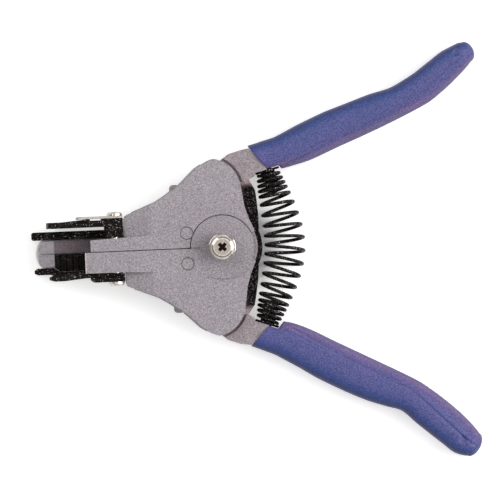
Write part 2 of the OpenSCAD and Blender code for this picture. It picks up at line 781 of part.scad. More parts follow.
// Each end runs straight into its seat, by shares of the wire's diameter
spring_path = concat(
  [for (k = leg_shares)
    [spring_coil[0][0] - [dir_a[0], dir_a[1], 0] * spring_wire * k, spring_coil[0][1]]],
  spring_coil,
  [for (k = [1, 0])
    [spring_last[0] - [dir_b[0], dir_b[1], 0] * spring_wire * leg_shares[k], spring_last[1]]]
);
function least_gap(path, wire, skip) = min([
  for (i = [0 : len(path) - 1], j = [i + skip : len(path) - 1]) norm(path[i][0] - path[j][0])
]) - wire;
echo(main_spring_least_gap = least_gap(spring_path, spring_wire, 5));

module main_spring() {
  color(blued) tube(spring_path, spring_wire / 2);
}

module spring_seat(side) {
  color(blued) at_seat(side) rotate([0, 90, 0]) {
    cylinder(h = seat_flange_t, r = seat_flange_r, $fn = turned_fn);
    cylinder(h = seat_flange_t + seat_stud_l, r = seat_stud_r, $fn = turned_fn);
    translate([0, 0, -seat_pin_l]) cylinder(h = seat_pin_l + join, r = seat_pin_r, $fn = turned_fn);
  }
}

module spring_seat_gripper() {
  spring_seat(-1);
}

module spring_seat_cutter() {
  spring_seat(1);
}

module pivot_screw() {
  color(nickel) difference() {
    union() {
      rotate_extrude($fn = turned_fn) polygon(concat(
        [[0, head_z], [pivot_head_d / 2, head_z], [pivot_head_d / 2, head_z + head_h * 0.4]],
        [for (k = [1 : 6]) let (a = 90 * k / 6)
          [pivot_head_d / 2 * (0.62 + 0.38 * cos(a)), head_z + head_h * (0.4 + 0.6 * sin(a))]],
        [[0, head_z + head_h]]));
      disc(pivot_d / 2, screw_tip_z, head_z + join);
    }
    for (a = [0, 90]) rotate([0, 0, a + recess_angle])
      block([-recess_l / 2, -recess_w / 2, head_z + head_h * recess_floor_share],
            [recess_l / 2, recess_w / 2, head_z + head_h + over]);
  }
}

module pivot_sleeve_nut() {
  color(nickel) difference() {
    union() {
      disc(flange_d / 2, 0, flange_t - face_gap);
      disc(sleeve_d / 2, 0, thin_sleeve_z);
      disc(thin_sleeve_r, 0, head_z - screw_washer_t - face_gap);
    }
    disc(pivot_d / 2 + fit, nut_floor, head_z + over);
    // Two holes for a pin spanner
    for (a = [0, 180]) rotate([0, 0, a]) translate([spanner_hole_at, 0, -over])
      cylinder(h = over + spanner_hole_depth, d = spanner_hole_d, $fn = turned_fn);
  }
}

module screw_washer() {
  color(nickel) difference() {
    disc(pivot_head_d / 2 + seat_rim, head_z - screw_washer_t, head_z - face_gap);
    disc(pivot_d / 2 + fit, 0, head_z + over);
  }
}

// Coil spring between the boss and the washer, with straight ends
hold_wire = 0.7;
hold_turns = 2;
hold_rim = 0.1;
hold_r = boss_bore_r + hold_rim + hold_wire / 2;
hold_steps = hold_turns * coil_rings;
hold_foot = boss_top + face_gap;
hold_top = boss_top + spring_space - face_gap;
hold_leg = leg_shares[0] * hold_wire;
hold_coil = [
  for (i = [0 : hold_steps])
    let (a = 360 / coil_rings * i, side = [cos(a), sin(a), 0],
         z = hold_foot + hold_leg + (hold_top - hold_foot - 2 * hold_leg) * i / hold_steps)
      [[0, 0, z] + hold_r * side, side]
];
hold_last = hold_coil[hold_steps];
hold_path = concat(
  [for (k = leg_shares) [hold_coil[0][0] - [0, 0, k * hold_wire], hold_coil[0][1]]],
  hold_coil,
  [for (k = [1, 0]) [hold_last[0] + [0, 0, leg_shares[k] * hold_wire], hold_last[1]]]
);
echo(hold_down_spring_least_gap = least_gap(hold_path, hold_wire, 5));

module hold_down_spring() {
  color(steel) tube(hold_path, hold_wire / 2);
}

// Width of the washer's ring
hub_washer_w = 1.8;

module hub_washer() {
  color(steel) difference() {
    disc(lever_hub_bore_r + hub_washer_w, lever_hub_z + lever_hub_t + face_gap,
         lever_hub_z + lever_hub_t + washer_t);
    disc(lever_hub_bore_r, 0, head_z);
  }
}

// Ring that lifts the lever hubs on two rounded lugs across the pivot
module lift_ring() {
  color(steel) difference() {
    union() {
      disc(ring_r, ring_z, ring_z + ring_t);
      intersection() {
        disc(ring_r, ring_z, frame_t);
        across(0, -ring_r, ring_r, ring_z + ring_t + ring_lug_h - ring_lug_w / 2, ring_lug_w / 2);
      }
    }
    disc(sleeve_d / 2 + fit, 0, frame_t + over);
  }
}

module cross_pin(side) {
  r = cross_pin_d / 2;
  l = pin_end - seam - seat_rim;
  color(steel) on_side(side) translate([pin_x, seam + seat_rim, pin_z]) rotate([-90, 0, 0])
    rotate_extrude($fn = turned_fn)
      polygon([[0, 0], [r, 0], [r, l - pin_tip], [r * 0.86, l - 0.45 * pin_tip],
               [r * 0.6, l - 0.12 * pin_tip], [r * 0.3, l], [0, l]]);
}

module cross_pin_gripper() {
  cross_pin(-1);
}

module cross_pin_cutter() {
  cross_pin(1);
}

module flush_pin(side) {
  color(steel) opened() on_side(side) translate([flush_pin_x, flush_pin_y, wing_z])
    cylinder(h = wing_t - flush_pin_sink, d = flush_pin_d, $fn = turned_fn);
}

module flush_pin_gripper() {
  flush_pin(-1);
}

module flush_pin_cutter() {
  flush_pin(1);
}

// A pan-head screw along Y, with its head outside at y
module jaw_screw(y, z, l) {
  color(nickel) difference() {
    union() {
      across(mount_x, y - l, y + join, z, jaw_screw_d / 2);
      translate([mount_x, y, z]) rotate([-90, 0, 0]) rotate_extrude($fn = turned_fn)
        polygon([[0, 0], [screw_head_d / 2, 0], [screw_head_d / 2, screw_head_h * 0.5],
                 [screw_head_d * 0.4, screw_head_h], [0, screw_head_h]]);
    }
    for (a = [45, 135]) translate([mount_x, y, z]) rotate([0, a, 0])
      block([-screw_head_d * 0.3, screw_head_h * 0.45, -screw_recess_w / 2],
            [screw_head_d * 0.3, screw_head_h + over, screw_recess_w / 2]);
  }
}

// Plate between two heights from an outline, with the jaw screw's hole
module jaw_plate(pts, z0, z1, screw_z) {
  difference() {
    prism(pts, z0, z1);
    across(mount_x, -wing_w, wing_w, screw_z, jaw_screw_d / 2 + fit);
  }
}

// Half-round notches for wires along a blade's edge
module notches(z) {
  for (i = [0 : notch_n - 1])
    across(notch_x + i * notch_step, blade_y - over, blade_y + blade_t + over, z,
           notch_r + i * notch_growth);
}

module wire_guide_lower() {
  color(blued) difference() {
    jaw_plate([[-guide_reach, guide_y + guide_chamfer], [-guide_reach + guide_chamfer, guide_y],
               [mount_back, guide_y], [mount_back, guide_y + guide_t],
               [-guide_reach + guide_chamfer, guide_y + guide_t],
               [-guide_reach, guide_y + guide_t - guide_chamfer]],
              lower_plate_foot, guide_top, lower_screw_z);
    across(wire_x, 0, wing_w, meet_z, guide_notch_r);
  }
}

module blade_spacer_lower() {
  color(blued) jaw_plate([
    [mount_front, guide_y + guide_t + face_gap], [mount_back, guide_y + guide_t + face_gap],
    [mount_back, blade_y - face_gap], [mount_front, blade_y - face_gap]],
    lower_plate_foot, spacer_top, lower_screw_z);
}

module cutter_blade_lower() {
  color(blued) difference() {
    jaw_plate([[lower_blade_front, blade_y], [mount_back, blade_y], [mount_back, blade_y + blade_t],
               [lower_blade_front, blade_y + blade_t]], meet_z - blade_h, meet_z - bite_gap, lower_screw_z);
    notches(meet_z);
  }
}

module cutter_screw_lower() {
  jaw_screw(blade_y + blade_t + face_gap, lower_screw_z, blade_y + blade_t - gap - seam);
}

// Clearance of the spacer's slanted face from the finger, in front and behind
finger_clear = [0.1, 0.3];

module cutter_spacer_upper() {
  color(blued) opened() jaw_plate([
    [mount_front, narrow_w + finger_clear[0]], [mount_back, narrow_w + finger_clear[1]],
    [mount_back, blade_y - face_gap], [mount_front, blade_y - face_gap]],
    spacer_upper_foot, spacer_upper_top, upper_screw_z);
}

module cutter_blade_upper() {
  color(blued) opened() difference() {
    jaw_plate([[-blade_reach, blade_y], [mount_back, blade_y], [mount_back, blade_y + blade_t],
               [-blade_reach, blade_y + blade_t]], meet_z + bite_gap, meet_z + blade_h, upper_screw_z);
    notches(meet_z);
  }
}

module blade_backing_upper() {
  color(blued) opened() difference() {
    jaw_plate([[backing_front, backing_y], [mount_back, backing_y], [mount_back, backing_y + backing_t],
               [backing_shoulder, backing_y + backing_t]], upper_plate_foot, upper_plate_top, upper_screw_z);
    // Open slot that one sees through from above
    block([slot_front, backing_y + backing_bridge_t, 0],
          [slot_front + slot_l, backing_y + backing_t + over, wing_top]);
  }
}

module clamp_strip_upper() {
  color(casting) opened() jaw_plate([[strip_front, strip_y], [mount_back, strip_y],
                                     [mount_back, strip_y + strip_t], [strip_front, strip_y + strip_t]],
                                    strip_foot, strip_top, upper_screw_z);
}

module cutter_screw_upper() {
  opened() jaw_screw(cutter_head_y, upper_screw_z, cutter_head_y - narrow_w / 2 - gap);
}

module wire_pad_lower() {
  rib_pitch = (pad_back - pad_front) / rib_n;
  color(blued) mirror([0, 1, 0]) difference() {
    prism([[pad_front + pad_slack, seam], [pad_back - face_gap, seam], [pad_back - face_gap, pad_w],
           [lower_bend + gap, pad_w], [pad_front + pad_slack, tip_w_gripper + gap]],
          arm_top + face_gap, tip_top);
    for (i = [1 : rib_n - 1])
      block([pad_front + i * rib_pitch - rib_gap_w / 2, 0, tip_top - rib_gap_depth],
            [pad_front + i * rib_pitch + rib_gap_w / 2, pad_w + over, meet_z + over]);
  }
}

// Tip of the lower gripping plate, which bends in round the tip block
lower_hook = [[-69.2, 5.9], [-68, 5.1], [-62.6, 5.1]];
lower_hook_back = [[-63.2, 7.6], [-68, 7.6], [-69.2, 7]];
// Tip of the upper gripping plate
hook_gap = 0.4;
hook_front = -wide_reach - hook_gap;
upper_hook = [[-grip_plate_reach, 8.5], [-62.4, 7.9], [-60, 7.6], [hook_front, 6.8]];
upper_hook_back = [
  [clamp_front - over, upper_plate_y + upper_plate_t], [-59, 10.1], [-62.2, 10.1], [-grip_plate_reach, 9.5],
];

module gripper_plate_lower() {
  outer_y = plate_y + plate_t;
  color(blued) mirror([0, 1, 0]) jaw_plate(concat(
    lower_hook,
    [[lower_bend, plate_y], [mount_back, plate_y], [mount_back, outer_y], [lower_bend, outer_y]],
    lower_hook_back),
    lower_plate_foot, meet_z - bite_gap, lower_screw_z);
}

module gripper_screw_lower() {
  mirror([0, 1, 0]) jaw_screw(plate_y + plate_t + face_gap, lower_screw_z, plate_y + plate_t - gap - seam);
}

module gripper_plate_upper() {
  color(blued) opened() mirror([0, 1, 0]) jaw_plate(concat(
    upper_hook,
    [[upper_hook[3][0], upper_plate_y], [mount_back, upper_plate_y],
     [mount_back, upper_plate_y + upper_plate_t]],
    upper_hook_back),
    meet_z + bite_gap, upper_plate_top, upper_screw_z);
}

module gripper_clamp_upper() {
  color(blued) opened() mirror([0, 1, 0]) jaw_plate([
    [clamp_front, clamp_y], [mount_back, clamp_y], [mount_back, clamp_y + clamp_t],
    [clamp_front + clamp_chamfer, clamp_y + clamp_t], [clamp_front, clamp_y + clamp_t * 0.5]],
    upper_plate_foot, spacer_upper_top, upper_screw_z);
}

module gripper_screw_upper() {
  opened() mirror([0, 1, 0]) jaw_screw(gripper_head_y, upper_screw_z, gripper_head_y - wide_w / 2 - gap);
}

frame_gripper();
frame_cutter();
lever_gripper();
lever_cutter();
grip_sleeve_gripper();
grip_sleeve_cutter();
main_spring();
pivot_screw();
pivot_sleeve_nut();
screw_washer();
hold_down_spring();
hub_washer();
lift_ring();
cross_pin_gripper();
cross_pin_cutter();
flush_pin_gripper();
flush_pin_cutter();
spring_seat_gripper();
spring_seat_cutter();
wire_guide_lower();
blade_spacer_lower();
cutter_blade_lower();
cutter_screw_lower();
cutter_spacer_upper();
cutter_blade_upper();
blade_backing_upper();
clamp_strip_upper();
cutter_screw_upper();
wire_pad_lower();
gripper_plate_lower();
gripper_screw_lower();
gripper_plate_upper();
gripper_clamp_upper();
gripper_screw_upper();
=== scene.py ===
"""The looks of an automatic wire stripper, lying flat and seen from straight above."""
import json
import math

import bpy
from mathutils import Matrix, Vector


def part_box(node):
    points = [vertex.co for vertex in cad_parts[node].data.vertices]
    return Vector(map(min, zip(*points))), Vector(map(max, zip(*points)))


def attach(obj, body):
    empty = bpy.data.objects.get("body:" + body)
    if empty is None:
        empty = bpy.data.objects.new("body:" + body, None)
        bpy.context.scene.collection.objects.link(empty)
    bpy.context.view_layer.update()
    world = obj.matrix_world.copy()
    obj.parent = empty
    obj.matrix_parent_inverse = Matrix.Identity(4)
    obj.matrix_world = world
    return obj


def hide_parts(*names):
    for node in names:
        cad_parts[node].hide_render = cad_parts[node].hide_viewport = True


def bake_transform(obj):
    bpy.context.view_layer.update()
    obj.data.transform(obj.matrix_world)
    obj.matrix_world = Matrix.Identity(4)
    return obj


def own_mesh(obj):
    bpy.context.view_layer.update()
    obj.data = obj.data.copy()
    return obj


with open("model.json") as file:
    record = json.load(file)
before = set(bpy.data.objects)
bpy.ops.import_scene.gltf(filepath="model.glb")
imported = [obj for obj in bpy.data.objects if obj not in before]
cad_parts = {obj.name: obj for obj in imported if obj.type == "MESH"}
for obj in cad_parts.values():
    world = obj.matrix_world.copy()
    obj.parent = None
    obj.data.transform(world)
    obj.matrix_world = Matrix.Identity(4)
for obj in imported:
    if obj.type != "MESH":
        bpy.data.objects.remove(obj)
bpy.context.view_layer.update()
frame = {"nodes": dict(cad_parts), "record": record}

# The scene is in metres. Sizes that follow the part's source are in millimetres, as they are there
MM = 0.001

# ---------------------------------------------------------------- the photograph
PHOTO_SIDE = 500
MM_PER_PIXEL = 0.366
PIVOT_PIXEL = (222.5, 247.0)
# The tool lies turned by this much in the photograph
PHOTO_TURN = math.radians(2.4)

# ---------------------------------------------------------------- sizes, as in the part's source
# Side 1 is the cutter's, at the top of the photograph, and side -1 the gripper's
HANDLE_SKEW = -2.4
ROOT = {1: (13.0, 32.4), -1: (14.2, 32.1)}
GRIP_ANGLE = {1: 27.5, -1: 28.1}
GRIP_L = 88.5
GRIP_W = 13.0
GRIP_T = 13.6
GRIP_FOOT = 0.4
GRIP_Z = GRIP_FOOT + GRIP_T / 2
# Share of a grip's length, then its outer and its inner edge off the axis, as shares of GRIP_W
GRIP_SHARES = {
    1: [
        (0.000, 0.46, -0.44), (0.050, 0.39, -0.53), (0.110, 0.33, -0.62), (0.200, 0.34, -0.72),
        (0.315, 0.32, -0.75), (0.420, 0.25, -0.79), (0.530, 0.17, -0.82), (0.630, 0.06, -0.83),
        (0.720, 0.10, -0.82), (0.810, 0.21, -0.71), (0.890, 0.30, -0.55), (0.950, 0.30, -0.40),
        (0.985, 0.20, -0.27), (1.000, 0.06, -0.12),
    ],
    -1: [
        (0.000, 0.42, -0.46), (0.050, 0.36, -0.61), (0.100, 0.32, -0.72), (0.180, 0.32, -0.79),
        (0.290, 0.34, -0.82), (0.400, 0.31, -0.86), (0.510, 0.24, -0.90), (0.600, 0.12, -0.93),
        (0.660, 0.03, -0.94), (0.740, 0.14, -0.89), (0.820, 0.24, -0.80), (0.880, 0.31, -0.71),
        (0.935, 0.37, -0.60), (0.980, 0.31, -0.48), (1.007, 0.17, -0.37), (1.020, 0.00, -0.22),
    ],
}
# How far a sleeve's mouth slants back, as a share of its width
END_LEAN_SHARE = 0.22
# The seats of the main spring, and the spring itself
SEAT_AT = (16.2, 28.4)
SEAT_ANGLE = -73.0
SEAT_Z = 7.0
SEAT_FLANGE_T = 0.8
FACE_GAP = 0.02
SPRING_WIRE = 1.25
SPRING_END_D = 8.6
SPRING_MID_D = 15.2
CLOSE_N = 4.0
CLOSE_PITCH = 1.85
COIL_N = 18.5
SPRING_BOW = 6.3
SPRING_FOOT = 0.25
SPRING_Z = SPRING_MID_D / 2 + SPRING_FOOT


def polar(r, a):
    """A place at a distance and an angle in degrees."""
    return Vector((r * math.cos(math.radians(a)), r * math.sin(math.radians(a))))


def turned(p, side):
    """A place of one handle, given as on side 1 without the skew, where it lies in the part."""
    c, s = math.cos(math.radians(HANDLE_SKEW)), math.sin(math.radians(HANDLE_SKEW))
    y = p[1] * side
    return Vector((p[0] * c - y * s, p[0] * s + y * c))


def grip_point(side, u, v):
    """A point of a grip: share of its length, distance off its axis."""
    a = GRIP_ANGLE[side]
    return turned(Vector(ROOT[side]) + polar(u * GRIP_L, a) + polar(v, a + 90), side)


# ---------------------------------------------------------------- node helpers
BLACK = (0.0, 0.0, 0.0)
WHITE = (1.0, 1.0, 1.0)
# Most of a noise's values lie between these two
NOISE_LOW, NOISE_HIGH = 0.3, 0.7
BUMP_STRENGTH = 0.5


def put(t, socket, value):
    """Links an output to a socket, or sets the socket to a plain number, place or colour."""
    if isinstance(value, bpy.types.NodeSocket):
        t.links.new(value, socket)
    elif socket.type == "RGBA":
        socket.default_value = (*value, 1)
    else:
        socket.default_value = value


def node_material(name, colour, roughness, metallic=0.0):
    """A material, its node tree and its main shader."""
    m = bpy.data.materials.new(name)
    m.use_nodes = True
    t = m.node_tree
    b = t.nodes["Principled BSDF"]
    put(t, b.inputs["Base Color"], colour)
    put(t, b.inputs["Roughness"], roughness)
    put(t, b.inputs["Metallic"], metallic)
    return m, t, b


def own_place(t):
    """A place in the piece's own coordinates, in metres."""
    return t.nodes.new("ShaderNodeTexCoord").outputs["Object"]


def split(t, vector):
    """The X, Y and Z of a vector."""
    n = t.nodes.new("ShaderNodeSeparateXYZ")
    put(t, n.inputs["Vector"], vector)
    return n.outputs


def calculated(t, operation, a, b):
    """The result of a calculation with two numbers."""
    n = t.nodes.new("ShaderNodeMath")
    n.operation = operation
    put(t, n.inputs[0], a)
    put(t, n.inputs[1], b)
    return n.outputs["Value"]


def vector_math(t, operation, a, b=None):
    """The outputs of a calculation with vectors."""
    n = t.nodes.new("ShaderNodeVectorMath")
    n.operation = operation
    put(t, n.inputs[0], a)
    if b is not None:
        put(t, n.inputs[1], b)
    return n.outputs


def mapped(t, value, low, high, to_low=0.0, to_high=1.0, interpolation="LINEAR"):
    """Carries a number from one range to another, and holds it within that."""
    n = t.nodes.new("ShaderNodeMapRange")
    n.interpolation_type = interpolation
    for key, number in (("Value", value), ("From Min", low), ("From Max", high),
                        ("To Min", to_low), ("To Max", to_high)):
        put(t, n.inputs[key], number)
    return n.outputs["Result"]


def place(t, axis, low, high):
    """Goes from 0 to 1 along one of the piece's own axes, between two places in metres."""
    return mapped(t, split(t, own_place(t))[axis], low, high)


def reach_from(t, x, y):
    """How far a place is from an upright line, in the piece's own coordinates."""
    off = vector_math(t, "SUBTRACT", own_place(t), (x, y, 0))["Vector"]
    flat = vector_math(t, "MULTIPLY", off, (1, 1, 0))["Vector"]
    return vector_math(t, "LENGTH", flat)["Value"]


def noise(t, scale, detail, rough, stretch=None):
    """A noise in the piece's own coordinates, with its scale in waves for each metre."""
    where = own_place(t)
    if stretch:
        mapping = t.nodes.new("ShaderNodeMapping")
        put(t, mapping.inputs["Vector"], where)
        put(t, mapping.inputs["Scale"], stretch)
        where = mapping.outputs["Vector"]
    n = t.nodes.new("ShaderNodeTexNoise")
    for key, value in (("Vector", where), ("Scale", scale), ("Detail", detail), ("Roughness", rough)):
        put(t, n.inputs[key], value)
    return n.outputs["Fac"]


def ramp(t, source, stops):
    """A colour that goes through stops as a number goes from 0 to 1."""
    r = t.nodes.new("ShaderNodeValToRGB")
    while len(r.color_ramp.elements) < len(stops):
        r.color_ramp.elements.new(0.5)
    for e, (at, colour) in zip(r.color_ramp.elements, stops):
        e.position = at
        e.color = (*colour, 1)
    put(t, r.inputs["Fac"], source)
    return r.outputs["Color"]


def mixed(t, share, a, b, kind="MIX"):
    """Goes from the first colour to the second as the share goes from 0 to 1."""
    m = t.nodes.new("ShaderNodeMix")
    m.data_type = "RGBA"
    m.blend_type = kind
    put(t, m.inputs["Factor"], share)
    put(t, m.inputs["A"], a)
    put(t, m.inputs["B"], b)
    return m.outputs["Result"]


def times(t, a, b):
    """One colour multiplied by another."""
    return mixed(t, 1.0, a, b, "MULTIPLY")


def bump(t, b, height, distance):
    """Lets a shader look rough by a depth in metres."""
    n = t.nodes.new("ShaderNodeBump")
    put(t, n.inputs["Distance"], distance)
    put(t, n.inputs["Strength"], BUMP_STRENGTH)
    put(t, n.inputs["Height"], height)
    put(t, b.inputs["Normal"], n.outputs["Normal"])


def roughness_noise(t, b, source, low, high):
    """Lets a shader's roughness follow a noise."""
    put(t, b.inputs["Roughness"], mapped(t, source, NOISE_LOW, NOISE_HIGH, low, high))


def noise_tone(t, source, low, high):
    """A colour that follows a noise."""
    return ramp(t, source, [(NOISE_LOW, low), (NOISE_HIGH, high)])


def base_colour(m):
    """A material's node tree, the socket of its colour and what is linked to that socket."""
    t = m.node_tree
    socket = t.nodes["Principled BSDF"].inputs["Base Color"]
    return t, socket, socket.links[0].from_socket


def tinted(m, tint):
    """Multiplies a material's colour by another colour."""
    t, socket, colour = base_colour(m)
    put(t, socket, times(t, colour, tint))


# ---------------------------------------------------------------- materials
# The grain that all matt surfaces share: scales in waves for each metre, and the coarse one's share
FINE_GRAIN, COARSE_GRAIN, COARSE_SHARE = 2900, 1500, 0.3
# Depths of the grain, in metres
MATT_DEPTH, OXIDE_DEPTH = 0.00006, 0.00005
# Shine of the casting, of the vinyl, and of the frames' painted shade, which shines less
CAST_SHINE, VINYL_SHINE, PAINTED_SHADE_SHINE = 0.35, 0.4, 0.04


def grain(t):
    """Fine grain of about a third of a millimetre, mixed with a coarser one."""
    both = t.nodes.new("ShaderNodeMix")
    put(t, both.inputs["Factor"], COARSE_SHARE)
    put(t, both.inputs["A"], noise(t, FINE_GRAIN, 2, 0.6))
    put(t, both.inputs["B"], noise(t, COARSE_GRAIN, 1, 0.5))
    return both.outputs["Result"]


def cast_metal(name="cast_grey"):
    """Grey die casting, blasted matt."""
    m, t, b = node_material(name, (0.29, 0.265, 0.285), 0.6)
    fine = grain(t)
    speck = ramp(t, fine, [
        (0.36, (0.17, 0.155, 0.165)), (0.5, (0.29, 0.265, 0.286)), (0.64, (0.45, 0.41, 0.44))])
    tone = noise_tone(t, noise(t, 60, 2, 0.5), (0.95, 0.94, 0.96), WHITE)
    put(t, b.inputs["Base Color"], times(t, speck, tone))
    roughness_noise(t, b, fine, 0.5, 0.68)
    bump(t, b, fine, MATT_DEPTH)
    put(t, b.inputs["Specular IOR Level"], CAST_SHINE)
    return m


# The frames' painted shade and painted light run along these stretches of X and Y, in metres from the
# pivot
FRAME_X = (-0.07, 0.03)
FRAME_Y = (-0.03, 0.03)
# Where along X the painted shade between pivot and spring begins and is full, then the same for the
# grooves' painted light
PAINTED_SHADE_FROM = (0.004, 0.009)
GROOVES_FROM = (-0.006, -0.004)
# Height that parts the necks' tops from the frames' lower faces, which carry the painted shade, and how
# soft that change is
NECK_SHADE = 0.0118
NECK_EASE = 0.0004


def frame_metal():
    """The frames' casting, with painted shade: browner and darker low down from the jaws back, and near
    black with specks between pivot and spring.
    """
    m = cast_metal("cast_grey_frame")
    t = m.node_tree
    # Painted shade low down, from the jaws back
    low = ramp(t, place(t, "X", *FRAME_X), [
        (0.0, WHITE), (0.085, WHITE), (0.1, (0.66, 0.58, 0.61)), (1.0, (0.6, 0.53, 0.54))])
    # Painted shade between the pivot and the spring, within the necks
    inward = ramp(t, place(t, "Y", *FRAME_Y), [
        (0.0, BLACK), (0.11, BLACK), (0.14, WHITE), (0.86, WHITE), (0.89, BLACK), (1.0, BLACK)])
    rear = times(t, inward, place(t, "X", *PAINTED_SHADE_FROM))
    # The grooves beside the wings are narrow, and painted lighter so that their shade doesn't read as
    # black lines
    painted_groove_light = mixed(t, inward, (1.35, 1.15, 1.08), low)
    base = mixed(t, place(t, "X", *GROOVES_FROM), low, painted_groove_light)
    # The painted shade's colour: near black, with lighter specks
    shade_flecks = ramp(t, noise(t, 1900, 2, 0.7), [
        (0.56, (0.01, 0.009, 0.009)), (0.66, (0.55, 0.46, 0.46))])
    painted_shade = mixed(t, rear, base, shade_flecks)
    above = place(t, "Z", NECK_SHADE - NECK_EASE, NECK_SHADE)
    in_painted_shade = mixed(t, above, rear, BLACK)
    # Less shine where the shade is painted
    put(t, t.nodes["Principled BSDF"].inputs["Specular IOR Level"],
        mapped(t, in_painted_shade, 0.0, 1.0, CAST_SHINE, PAINTED_SHADE_SHINE))
    # Below the necks' tops the painted shade and light, on the tops a little warmer and darker
    tinted(m, mixed(t, above, painted_shade, (0.98, 0.93, 0.92)))
    return m


# How far back the wide finger's front edge carries a painted highlight, and where that ends, in metres
EDGE_HIGHLIGHT = (0.0004, 0.0007)


def edged_metal():
    """The casting's metal, with a painted highlight along the wide finger's front edge."""
    m = cast_metal("cast_grey_edge")
    t = m.node_tree
    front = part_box("lever_gripper")[0][0]
    back = place(t, "X", *(front + reach for reach in EDGE_HIGHLIGHT))
    # The painted highlight, cream and bright
    tinted(m, mixed(t, back, (2.1, 2.0, 1.55), WHITE))
    return m


# The dark ring of a flush pin starts and is full this far inside its edge, in metres
PIN_RING = (0.00045, 0.00025)


def ringed_metal(name, node):
    """The casting's metal with a thin dark ring near a flush pin's edge."""
    m = cast_metal(name)
    t = m.node_tree
    low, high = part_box(node)
    r = (high[1] - low[1]) / 2
    # The pin leans with the open jaws, so its top lies a little behind its middle
    reach = reach_from(t, high[0] - r, (low[1] + high[1]) / 2)
    edge = mapped(t, reach, *(r - inside for inside in PIN_RING))
    tinted(m, mixed(t, edge, WHITE, (0.42, 0.38, 0.38)))
    return m


def blue_vinyl(name="blue_vinyl"):
    """Dipped vinyl in blue-violet."""
    m, t, b = node_material(name, (0.075, 0.085, 0.25), 0.5)
    fine = grain(t)
    broad = noise(t, 50, 2, 0.5)
    tone = noise_tone(t, broad, (0.056, 0.076, 0.235), (0.08, 0.082, 0.255))
    speck = ramp(t, fine, [
        (0.36, (0.45, 0.48, 0.6)), (0.5, (0.92, 0.94, 0.97)), (0.64, (1.7, 1.55, 1.35))])
    put(t, b.inputs["Base Color"], times(t, tone, speck))
    roughness_noise(t, b, broad, 0.42, 0.52)
    bump(t, b, fine, MATT_DEPTH)
    put(t, b.inputs["Specular IOR Level"], VINYL_SHINE)
    return m


def grip_vinyl_painted_light(side):
    """The vinyl of one grip, with painted light by the way its faces turn: lilac on its inner flank, plain
    on top, painted shade round its outer edge.
    """
    m = blue_vinyl("blue_vinyl_cutter" if side > 0 else "blue_vinyl_gripper")
    t = m.node_tree
    away = turned(polar(1, GRIP_ANGLE[side] + 90), side)
    normal = t.nodes.new("ShaderNodeTexCoord").outputs["Normal"]
    facing = vector_math(t, "DOT_PRODUCT", normal, (away[0], away[1], 0))["Value"]
    # Painted light and shade, from faces that look inwards to faces that look outwards
    tinted(m, ramp(t, mapped(t, facing, -1, 1), [
        (0.0, (1.15, 1.0, 0.98)), (0.04, (1.6, 1.15, 0.98)), (0.11, (2.3, 1.4, 1.0)),
        (0.19, (1.5, 1.1, 1.0)), (0.3, (1.12, 1.0, 1.0)), (0.58, WHITE), (0.7, (0.66, 0.9, 0.97)),
        (0.82, (0.48, 0.72, 0.86)), (0.92, (0.4, 0.45, 0.52)), (1.0, (0.85, 0.9, 0.95))]))
    return m


# The colour of worn patches, as shares of their brightness
WEAR_SHARES = (1.0, 0.7, 0.62)
# A glint's noise goes from dark to bright over this range
GLINT_EASE = 0.06
# A blackened piece's roughness lies between its polish plus the first and plus the second
OXIDE_SPREAD = (-0.06, 0.18)


def black_oxide(name="black_oxide", wear=0.014, polish=0.34, glints=0.63, shine=0.05):
    """Blackened steel, oiled, with browner patches where it is worn and small bright glints."""
    m, t, b = node_material(name, (0.006, 0.005, 0.006), 0.35)
    fine = grain(t)
    tone = ramp(t, noise(t, 260, 3, 0.6), [
        (0.45, (0.003, 0.003, 0.003)), (0.75, tuple(wear * share for share in WEAR_SHARES))])
    speck = ramp(t, fine, [(0.4, (0.3, 0.3, 0.3)), (0.6, (2.2, 2.0, 2.0))])
    bright = ramp(t, noise(t, 2000, 2, 0.7), [(glints, BLACK), (glints + GLINT_EASE, WHITE)])
    put(t, b.inputs["Base Color"], mixed(t, bright, times(t, tone, speck), (0.5, 0.44, 0.43)))
    put(t, b.inputs["Metallic"], bright)
    roughness_noise(t, b, fine, *(polish + spread for spread in OXIDE_SPREAD))
    bump(t, b, fine, OXIDE_DEPTH)
    put(t, b.inputs["Specular IOR Level"], shine)
    return m


def nickel_plate(name="nickel_plate"):
    """Bright nickel plate, a little warm."""
    m, t, b = node_material(name, (0.76, 0.7, 0.62), 0.2, 1.0)
    fine = noise(t, 1300, 2, 0.5)
    put(t, b.inputs["Base Color"], noise_tone(t, fine, (0.78, 0.71, 0.64), (0.93, 0.87, 0.81)))
    roughness_noise(t, b, fine, 0.1, 0.2)
    return m


HEAD_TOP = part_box("pivot_screw")[1][2]
# Below the head's top, in metres: where the recess is all in painted shade, and where that shade ends
RECESS_SHADE_DEPTHS = (0.0011, 0.0005)
# The painted shade lies within this radius of the screw's axis, in metres
RECESS_SHADE_R = 0.0018


def recessed_nickel():
    """The pivot screw's plate, with painted shade where its recess is deep."""
    m = nickel_plate("nickel_plate_recess")
    t, socket, colour = base_colour(m)
    shallow = place(t, "Z", *(HEAD_TOP - depth for depth in RECESS_SHADE_DEPTHS))
    outside = calculated(t, "GREATER_THAN", reach_from(t, 0, 0), RECESS_SHADE_R)
    unshaded = calculated(t, "MAXIMUM", shallow, outside)
    # Painted shade, near black, deep in the middle of the recess
    put(t, socket, mixed(t, unshaded, (0.02, 0.017, 0.015), colour))
    return m


def turned_steel():
    """Plain steel, with fine rings from turning."""
    m, t, b = node_material("turned_steel", (0.45, 0.43, 0.42), 0.35, 1.0)
    rings = noise(t, 900, 2, 0.6, stretch=(1, 1, 12))
    put(t, b.inputs["Base Color"], noise_tone(t, rings, (0.3, 0.28, 0.27), (0.44, 0.42, 0.4)))
    roughness_noise(t, b, rings, 0.3, 0.44)
    return m


